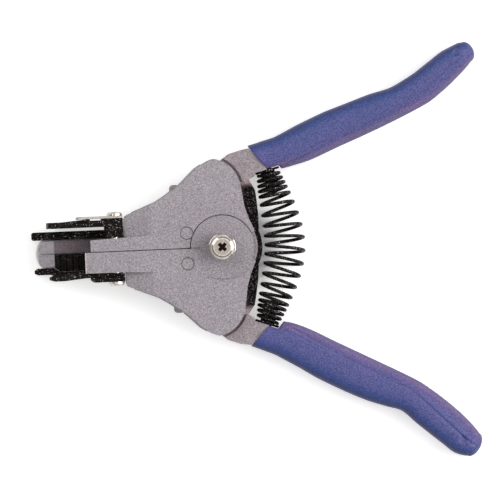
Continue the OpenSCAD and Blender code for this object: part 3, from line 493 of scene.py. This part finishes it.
CAST = cast_metal()
SPRING_STEEL = black_oxide("black_spring_steel", wear=0.008, polish=0.24, glints=0.62, shine=0.14)
STEEL = turned_steel()
# The look of each of the record's material slots
LOOK = {
    "casting": CAST, "grip": blue_vinyl(), "blued_steel": black_oxide(), "nickel": nickel_plate(),
    "steel": STEEL,
}
SLOT_OF = {s["node"]: s["material_slot"] for s in frame["record"]["subparts"]}
FRAME_CAST = frame_metal()
# Nodes with a look of their own
OWN_LOOK = {
    "cross_pin_gripper": CAST,
    "cross_pin_cutter": CAST,
    "flush_pin_gripper": ringed_metal("ring_flush_pin_gripper", "flush_pin_gripper"),
    "flush_pin_cutter": ringed_metal("ring_flush_pin_cutter", "flush_pin_cutter"),
    "lever_gripper": edged_metal(),
    "frame_gripper": FRAME_CAST,
    "frame_cutter": FRAME_CAST,
    "wire_pad_lower": black_oxide("black_pad", wear=0.02, polish=0.5, glints=0.66),
    "pivot_screw": recessed_nickel(),
}


def paint(obj, material):
    """Gives an object one material in all its slots."""
    if not obj.data.materials:
        obj.data.materials.append(material)
    for s in obj.material_slots:
        s.material = material


for node_name, obj in frame["nodes"].items():
    paint(obj, OWN_LOOK.get(node_name, LOOK[SLOT_OF[node_name]]))

# ---------------------------------------------------------------- rounded edges on the CAD nodes
WELD_REACH = 0.000002
FLAT_TURN = math.radians(1)
EDGE_TURN = math.radians(35)
EDGE_SEGMENTS = 2
# Width of the rounding, in metres
EDGE_WIDTHS = {
    "frame_gripper": 0.0007, "frame_cutter": 0.0007, "lever_gripper": 0.0005, "lever_cutter": 0.0005,
    "wire_guide_lower": 0.0002, "cutter_blade_upper": 0.00015, "cutter_blade_lower": 0.00015,
    "blade_backing_upper": 0.00015, "gripper_plate_upper": 0.0003, "gripper_plate_lower": 0.0003,
    "gripper_clamp_upper": 0.0003, "cutter_spacer_upper": 0.0003, "blade_spacer_lower": 0.0002,
    "clamp_strip_upper": 0.0001, "wire_pad_lower": 0.00012, "pivot_sleeve_nut": 0.0002,
    "screw_washer": 0.00015,
}


def soften(obj, width, join_flat):
    """Welds a node's faces, joins the flat ones and rounds its edges. Its own mesh stays as it is."""
    weld = obj.modifiers.new("weld", "WELD")
    weld.merge_threshold = WELD_REACH
    if join_flat:
        flat = obj.modifiers.new("flat", "DECIMATE")
        flat.decimate_type = "DISSOLVE"
        flat.angle_limit = FLAT_TURN
    edge = obj.modifiers.new("edge", "BEVEL")
    edge.width = width
    edge.segments = EDGE_SEGMENTS
    edge.limit_method = "ANGLE"
    edge.angle_limit = EDGE_TURN
    normal = obj.modifiers.new("normal", "WEIGHTED_NORMAL")
    normal.keep_sharp = True
    normal.mode = "FACE_AREA"


for node_name, width in EDGE_WIDTHS.items():
    # The levers' flat faces aren't joined
    soften(frame["nodes"][node_name], width, not node_name.startswith("lever"))


# ---------------------------------------------------------------- mesh helpers
WIRE_SIDES = 12


def mesh_piece(name, verts, faces, material):
    """An object with smooth faces and one material."""
    me = bpy.data.meshes.new(name)
    me.from_pydata([tuple(v) for v in verts], [], faces)
    me.validate()
    me.update()
    for p in me.polygons:
        p.use_smooth = True
    o = bpy.data.objects.new(name, me)
    bpy.context.scene.collection.objects.link(o)
    me.materials.append(material)
    return o


def skin(rings):
    """Vertices and faces of a closed skin through rings of equally many points."""
    n = len(rings[0])
    verts = [v for r in rings for v in r]
    faces = []
    for k in range(len(rings) - 1):
        for i in range(n):
            a, b = k * n + i, k * n + (i + 1) % n
            faces.append((a, b, b + n, a + n))
    faces.append(tuple(range(n - 1, -1, -1)))
    faces.append(tuple((len(rings) - 1) * n + i for i in range(n)))
    return verts, faces


def tube_rings(path, radius):
    """Rings round a path of points and sideways directions, from millimetres to metres."""
    rings = []
    last = len(path) - 1
    for i, (p, e) in enumerate(path):
        t = (path[min(i + 1, last)][0] - path[max(i - 1, 0)][0]).normalized()
        e = (e - t * e.dot(t)).normalized()
        f = t.cross(e)
        ring = []
        for k in range(WIRE_SIDES):
            angle = 2 * math.pi * k / WIRE_SIDES
            ring.append((p + radius * (math.cos(angle) * e + math.sin(angle) * f)) * MM)
        rings.append(ring)
    return rings


# ---------------------------------------------------------------- main spring
MAIN_PER_TURN = 28
LINE_STEPS = 200
LINE_NUDGE = 0.01
# The middle of a cubic curve lies this share of the way out to its inner points
CUBIC_SHARE = 0.75
# The coils begin to open this much before the last close one, and are open so many turns later
OPEN_EARLY, OPEN_TURNS = 0.5, 2
BARREL_POWER = 0.8


def lookup(value, table):
    """Reads a table of rising pairs, with straight lines between them."""
    if value <= table[0][0]:
        return table[0][1]
    for (a, fa), (b, fb) in zip(table, table[1:]):
        if value <= b:
            return fa + (fb - fa) * (value - a) / (b - a)
    return table[-1][1]


def openness(turn):
    """0 in the close coils at both ends of the main spring, 1 between them."""
    e = min(turn, COIL_N - turn)
    return min(1, max(0, (e - CLOSE_N + OPEN_EARLY) / OPEN_TURNS))


def spring_points():
    """The main spring's wire from seat to seat, as points and sideways directions, and its line's ends."""
    lift = SEAT_FLANGE_T + FACE_GAP + SPRING_WIRE / 2
    a = turned(Vector(SEAT_AT) + polar(lift, SEAT_ANGLE), -1)
    b = turned(Vector(SEAT_AT) + polar(lift, SEAT_ANGLE), 1)
    da, db = polar(1, HANDLE_SKEW - SEAT_ANGLE), polar(1, HANDLE_SKEW + SEAT_ANGLE)
    reach = SPRING_BOW / (CUBIC_SHARE * math.cos(math.radians(SEAT_ANGLE)))

    def line(t):
        u = 1 - t
        return (a * u ** 3 + (a + da * reach) * 3 * u * u * t
                + (b + db * reach) * 3 * u * t * t + b * t ** 3)

    lengths, whole = [(0.0, 0.0)], 0.0
    for i in range(1, LINE_STEPS + 1):
        whole += (line(i / LINE_STEPS) - line((i - 1) / LINE_STEPS)).length
        lengths.append((whole, i / LINE_STEPS))
    step = 1 / MAIN_PER_TURN
    opened = [openness((i + 0.5) * step) * step for i in range(round(COIL_N * MAIN_PER_TURN))]
    pitch = (whole - CLOSE_PITCH * COIL_N) / sum(opened)
    travel = [0.0]
    for o in opened:
        travel.append(travel[-1] + CLOSE_PITCH * step + pitch * o)
    points = []
    for i, s in enumerate(travel):
        t = lookup(s, lengths)
        c = line(t)
        d = (line(min(1, t + LINE_NUDGE)) - line(max(0, t - LINE_NUDGE))).normalized()
        angle = 2 * math.pi * i * step
        side = Vector((d[1], -d[0], 0)) * math.cos(angle) + Vector((0, 0, 1)) * math.sin(angle)
        rise = max(0, math.sin(math.pi * (s / whole)))
        r = (SPRING_END_D + (SPRING_MID_D - SPRING_END_D) * rise ** BARREL_POWER - SPRING_WIRE) / 2
        points.append((Vector((c[0], c[1], SEAT_Z + (SPRING_Z - SEAT_Z) * rise)) + r * side, side))
    return points, a, b


def make_main_spring():
    """The main spring, which bends from one frame to the other."""
    coil, a, b = spring_points()
    verts, faces = skin(tube_rings(coil, SPRING_WIRE / 2))
    o = mesh_piece("main_spring_wire", verts, faces, SPRING_STEEL)
    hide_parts("main_spring")
    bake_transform(o)


make_main_spring()

# ---------------------------------------------------------------- hold-down spring
BOSS_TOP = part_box("hold_down_spring")[0][2] / MM
WASHER_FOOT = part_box("screw_washer")[0][2] / MM
HOLD_WIRE = 0.7
HOLD_TURNS = 2
HOLD_PER_TURN = 36
HOLD_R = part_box("hold_down_spring")[1][0] / MM - HOLD_WIRE / 2
# How far an end's foot and the start of its bend lie from the coil, as shares of the wire's thickness
LEG_SHARE, BEND_SHARE = 1.5, 0.55
BEND_STEPS = 6
# A bend takes the place of this many of the coil's points, and ends this share of the way along them
BEND_SKIP, BEND_END_SHARE = 2, 0.75


def rounded_leg(first, second, direction, side, reach):
    """A straight end and a rounded bend into the first coil."""
    start = first - direction * reach
    corner = first - direction * HOLD_WIRE * BEND_SHARE
    points = [start, start + (corner - start) * 0.5]
    for k in range(BEND_STEPS + 1):
        u = k / BEND_STEPS
        points.append(corner * (1 - u) ** 2 + first * 2 * u * (1 - u)
                      + (first + (second - first) * BEND_END_SHARE) * u * u)
    return [(p, side) for p in points]


def make_hold_down_spring():
    """The spring between the boss and the washer. In the tool it is pressed shorter as the jaws close;
    this coil keeps one length.
    """
    leg = LEG_SHARE * HOLD_WIRE
    foot, top = BOSS_TOP + leg, WASHER_FOOT - FACE_GAP - leg
    steps = HOLD_TURNS * HOLD_PER_TURN
    coil = []
    for i in range(steps + 1):
        a = 2 * math.pi * i / HOLD_PER_TURN
        side = Vector((math.cos(a), math.sin(a), 0))
        coil.append((HOLD_R * side + Vector((0, 0, foot + (top - foot) * i / steps)), side))
    up = Vector((0, 0, 1))
    head = rounded_leg(coil[0][0], coil[BEND_SKIP][0], up, coil[0][1], leg)
    tail = rounded_leg(coil[-1][0], coil[-1 - BEND_SKIP][0], -up, coil[-1][1], leg)
    path = head + coil[BEND_SKIP:-BEND_SKIP] + tail[::-1]
    verts, faces = skin(tube_rings(path, HOLD_WIRE / 2))
    o = mesh_piece("hold_down_spring_wire", verts, faces, STEEL)
    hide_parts("hold_down_spring")
    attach(o, "gripper_frame")
    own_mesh(o)


make_hold_down_spring()

# ---------------------------------------------------------------- grips
GRIP_STATIONS = 160
GRIP_SIDES = 160
# A sleeve's round end: its share of the length, its stations, and what is left at the very tip
TIP_SHARE = 0.03
TIP_STATIONS = 16
TIP_WIDTH_SHARE, TIP_HEIGHT_SHARE, TIP_HEIGHT_POWER = 0.02, 0.04, 0.8
# Where a sleeve is narrow it is lower too. Its height's share is the first, plus the second times half
# its width as a share of GRIP_W, and 1 at most
LOW_SHARE, WIDTH_SHARE = 0.45, 1.4
# A section lies between an ellipse, which has a power of 2, and a rectangle
SECTION_POWER = 2.7
# The slant of a sleeve's mouth ends at this share of its length
MOUTH_SHARE = 0.05
# The crease of a grip: share of its length, then how far in from the inner edge, as a share of its width
CREASE_SHARES = [
    (0.0, 0.02), (0.06, 0.1), (0.15, 0.19), (0.3, 0.24), (0.5, 0.28), (0.65, 0.34), (0.78, 0.42),
    (0.88, 0.46), (0.95, 0.48), (1.02, 0.5)]
CREASE_DEPTH = 0.55
CREASE_HALF = 0.55
# How fast the crease comes in from the mouth and fades at the tip, for each whole length of the sleeve
CREASE_IN, CREASE_OUT = 25, 14
# How far the top falls from the crease to the inner flank, and the least width that it falls over
FLANK_FALL = 1.5
FLANK_MIN = 0.6
# The dip mark near a grip's tip: share of its length, distance off its axis, radius and depth
DIMPLE_AT = {1: (0.928, 0.8), -1: (0.941, -0.8)}
DIMPLE_R = 1.2
DIMPLE_DEPTH = 0.7
# The flat land round the spring's seat: half its width, how far back the sleeve stays there, and the
# width over which that changes
LAND_HALF = 4.7
LAND_BACK = 0.3
LAND_EASE = 0.6


def spline(xs, ys, x):
    """A smooth curve through points, with slopes that don't overshoot."""
    n = len(xs)
    d = [(ys[i + 1] - ys[i]) / (xs[i + 1] - xs[i]) for i in range(n - 1)]
    m = [d[0]]
    for i in range(1, n - 1):
        m.append(0.0 if d[i - 1] * d[i] <= 0 else 2 * d[i - 1] * d[i] / (d[i - 1] + d[i]))
    m.append(d[-1])
    i = max(0, min(n - 2, next((k for k in range(n - 1) if x <= xs[k + 1]), n - 2)))
    h = xs[i + 1] - xs[i]
    t = (x - xs[i]) / h
    return ((2 * t ** 3 - 3 * t * t + 1) * ys[i] + (t ** 3 - 2 * t * t + t) * h * m[i]
            + (-2 * t ** 3 + 3 * t * t) * ys[i + 1] + (t ** 3 - t * t) * h * m[i + 1])


def off_the_seat(p, side):
    """Moves a point of a sleeve back behind the flat land of the spring's seat."""
    at = turned(SEAT_AT, side)
    out = polar(1, HANDLE_SKEW + SEAT_ANGLE * side)
    d = Vector((p[0] - at[0], p[1] - at[1]))
    along, across = d.dot(out), abs(d.dot(Vector((-out[1], out[0]))))
    if along <= -LAND_BACK or across > LAND_HALF + LAND_EASE:
        return p
    share = min(1.0, (LAND_HALF + LAND_EASE - across) / LAND_EASE)
    return p - out * (along + LAND_BACK) * share


def lowered(z, side, u, off, past, inset, s):
    """A height on the top of a sleeve, lowered by the crease, the rounded flank and the dip mark.

    off is the distance off the sleeve's axis, past the distance beyond the crease, and s 1 on top."""
    end = GRIP_SHARES[side][-1][0]
    fade = min(1, u * CREASE_IN) * min(1, (end - u) * CREASE_OUT)
    z -= fade * CREASE_DEPTH * math.exp(-(past / CREASE_HALF) ** 2)
    if past < 0:
        z -= fade * FLANK_FALL * min(1, -past / max(FLANK_MIN, inset)) * s
    at = DIMPLE_AT[side]
    from_dimple = math.hypot((u - at[0]) * GRIP_L, off - at[1])
    return z - DIMPLE_DEPTH * math.exp(-(from_dimple / DIMPLE_R) ** 4)


def make_grip(side, node, body):
    """A smooth sleeve: flat on top, with a crease above its rounded inner flank."""
    us, outer, inner = zip(*GRIP_SHARES[side])
    crease_us, crease_ins = zip(*CREASE_SHARES)
    end = us[-1]
    cap = end - TIP_SHARE
    stations = [cap * k / GRIP_STATIONS for k in range(GRIP_STATIONS)]
    stations += [cap + (end - cap) * math.sin(math.pi / 2 * k / TIP_STATIONS)
                 for k in range(TIP_STATIONS + 1)]
    rings = []
    for u in stations:
        v = min(u, cap)
        hi, lo = spline(us, outer, v) * GRIP_W, spline(us, inner, v) * GRIP_W
        mid, half = (hi + lo) / 2, (hi - lo) / 2
        tall = GRIP_T / 2 * min(1, LOW_SHARE + half / GRIP_W * WIDTH_SHARE)
        if u > cap:
            f = math.sqrt(max(0.0, 1 - ((u - cap) / (end - cap)) ** 2))
            half *= max(TIP_WIDTH_SHARE, f)
            tall *= max(TIP_HEIGHT_SHARE, f ** TIP_HEIGHT_POWER)
        inset = spline(crease_us, crease_ins, u) * 2 * half
        ring = []
        for k in range(GRIP_SIDES):
            a = 2 * math.pi * k / GRIP_SIDES * side
            c, s = math.cos(a), math.sin(a)
            f = 1 / (abs(c) ** SECTION_POWER + abs(s) ** SECTION_POWER) ** (1 / SECTION_POWER)
            x, z = half * f * c, tall * f * s
            if s > 0:
                z = lowered(z, side, u, mid + x, (x + half) - inset, inset, s)
            lean = END_LEAN_SHARE * (mid + x) / GRIP_L * max(0.0, 1 - u / MOUTH_SHARE)
            p = off_the_seat(grip_point(side, u - lean, mid + x), side)
            ring.append(Vector((p[0], p[1], GRIP_Z + z)) * MM)
        rings.append(ring)
    verts, faces = skin(rings)
    o = mesh_piece(node + "_skin", verts, faces, grip_vinyl_painted_light(side))
    for flat_end in o.data.polygons[-2:]:
        flat_end.use_smooth = False
    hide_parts(node)
    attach(o, body)


make_grip(1, "grip_sleeve_cutter", "cutter_frame")
make_grip(-1, "grip_sleeve_gripper", "gripper_frame")

# ---------------------------------------------------------------- floor
FLOOR_SIZE = 3.0
FLOOR_Z = -0.0001
# Light that the floor adds towards the camera, so that it shows white outside the shadow
FLOOR_LIFT = 0.5
# No such light near these parts of the X axis, which are under the pivot and in the narrow gaps between
# the arms. Each has its two ends, then how far from it the light starts and is full, in metres
UNLIT = [(-0.02, 0.006, 0.01, 0.02), (-0.0615, 0.006, 0.0065, 0.0078)]


def away_from_line(t, x0, x1, near, far):
    """0 close to the part of the X axis between two places, 1 further than far from it."""
    axes = split(t, own_place(t))
    held = t.nodes.new("ShaderNodeClamp")
    for key, value in (("Value", axes["X"]), ("Min", x0), ("Max", x1)):
        put(t, held.inputs[key], value)
    off = t.nodes.new("ShaderNodeCombineXYZ")
    put(t, off.inputs["X"], calculated(t, "SUBTRACT", axes["X"], held.outputs["Result"]))
    put(t, off.inputs["Y"], axes["Y"])
    reach = vector_math(t, "LENGTH", off.outputs["Vector"])["Value"]
    return mapped(t, reach, near, far, interpolation="SMOOTHSTEP")


def floor_material():
    """A pale matt floor, which glows white towards the camera except near the pivot and in the gaps
    between the arms, where its shadow shows.
    """
    m, t, b = node_material("pale_floor", (0.8, 0.8, 0.8), 0.9)
    put(t, b.inputs["Specular IOR Level"], 0.0)
    lit = calculated(t, "MULTIPLY", *(away_from_line(t, *line) for line in UNLIT))
    seen = t.nodes.new("ShaderNodeLightPath").outputs["Is Camera Ray"]
    put(t, b.inputs["Emission Color"], WHITE)
    put(t, b.inputs["Emission Strength"],
        calculated(t, "MULTIPLY", seen, calculated(t, "MULTIPLY", lit, FLOOR_LIFT)))
    return m


corners = [(x * FLOOR_SIZE / 2, y * FLOOR_SIZE / 2, FLOOR_Z)
           for x, y in ((-1, -1), (1, -1), (1, 1), (-1, 1))]
floor = mesh_piece("floor", corners, [(0, 1, 2, 3)], floor_material())

# ---------------------------------------------------------------- room and lights
ROOM_STRENGTH = 0.62
# The room's brightness at its left and at its right
ROOM_LEFT, ROOM_RIGHT = 0.75, 1.3


def make_room():
    """A room that is brighter on the right, with a dark ring high up that the bright screws show.

    The camera sees plain white in its place."""
    world = bpy.data.worlds.new("studio")
    bpy.context.scene.world = world
    world.use_nodes = True
    t = world.node_tree
    t.nodes.clear()
    axes = split(t, t.nodes.new("ShaderNodeTexCoord").outputs["Generated"])
    height = ramp(t, axes["Z"], [
        (0.0, WHITE), (0.35, WHITE), (0.5, (1.25, 1.25, 1.25)), (0.62, (0.25, 0.25, 0.26)),
        (0.8, (0.3, 0.3, 0.31)), (0.9, (1.3, 1.28, 1.25)), (0.97, (1.2, 1.15, 1.1)),
        (1.0, (0.8, 0.76, 0.72))])
    across = t.nodes.new("ShaderNodeVectorMath")
    across.operation = "SCALE"
    put(t, across.inputs[0], height)
    put(t, across.inputs["Scale"], mapped(t, axes["X"], -1.0, 1.0, ROOM_LEFT, ROOM_RIGHT))
    room, white = (t.nodes.new("ShaderNodeBackground") for _ in range(2))
    put(t, room.inputs["Color"], across.outputs["Vector"])
    put(t, room.inputs["Strength"], ROOM_STRENGTH)
    put(t, white.inputs["Color"], WHITE)
    put(t, white.inputs["Strength"], 1.0)
    either = t.nodes.new("ShaderNodeMixShader")
    put(t, either.inputs["Fac"], t.nodes.new("ShaderNodeLightPath").outputs["Is Camera Ray"])
    put(t, either.inputs[1], room.outputs["Background"])
    put(t, either.inputs[2], white.outputs["Background"])
    put(t, t.nodes.new("ShaderNodeOutputWorld").inputs["Surface"], either.outputs["Shader"])


def area_light(name, at, size, watts, colour=WHITE):
    """A square light that shines on the pivot."""
    light = bpy.data.lights.new(name, "AREA")
    light.shape = "SQUARE"
    light.size = size
    light.energy = watts
    light.color = colour
    o = bpy.data.objects.new(name, light)
    o.location = at
    o.rotation_euler = Vector(at).to_track_quat("Z", "Y").to_euler()
    bpy.context.scene.collection.objects.link(o)


make_room()
area_light("key", (0.9, 0.1, 1.1), size=0.9, watts=12)
area_light("fill", (-0.6, 0.5, 1.0), size=0.8, watts=4.4)
area_light("rim", (1.2, 0.0, 0.35), size=0.3, watts=0.9, colour=(1.0, 0.72, 0.76))

# ---------------------------------------------------------------- camera
CAMERA_HEIGHT = 3.0
# The height at which the picture is as wide as the photograph
SCALE_HEIGHT = 0.014
SENSOR_WIDTH = 36
CLIP_START, CLIP_END = 0.01, 100

# The photograph's middle, from the pivot in millimetres, then turned as the tool is and in metres
centre = Vector(((PHOTO_SIDE / 2 - PIVOT_PIXEL[0]) * MM_PER_PIXEL,
                 (PIVOT_PIXEL[1] - PHOTO_SIDE / 2) * MM_PER_PIXEL, 0))
centre = Matrix.Rotation(-PHOTO_TURN, 3, "Z") @ centre * MM
camera = bpy.data.objects.new("camera", bpy.data.cameras.new("camera"))
camera.data.sensor_width = SENSOR_WIDTH
camera.data.lens = SENSOR_WIDTH * (CAMERA_HEIGHT - SCALE_HEIGHT) / (PHOTO_SIDE * MM_PER_PIXEL * MM)
camera.data.clip_start = CLIP_START
camera.data.clip_end = CLIP_END
camera.location = (centre[0], centre[1], CAMERA_HEIGHT)
camera.rotation_euler = (0, 0, -PHOTO_TURN)
bpy.context.scene.collection.objects.link(camera)
bpy.context.scene.camera = camera

bpy.context.scene.view_settings.view_transform = "Standard"
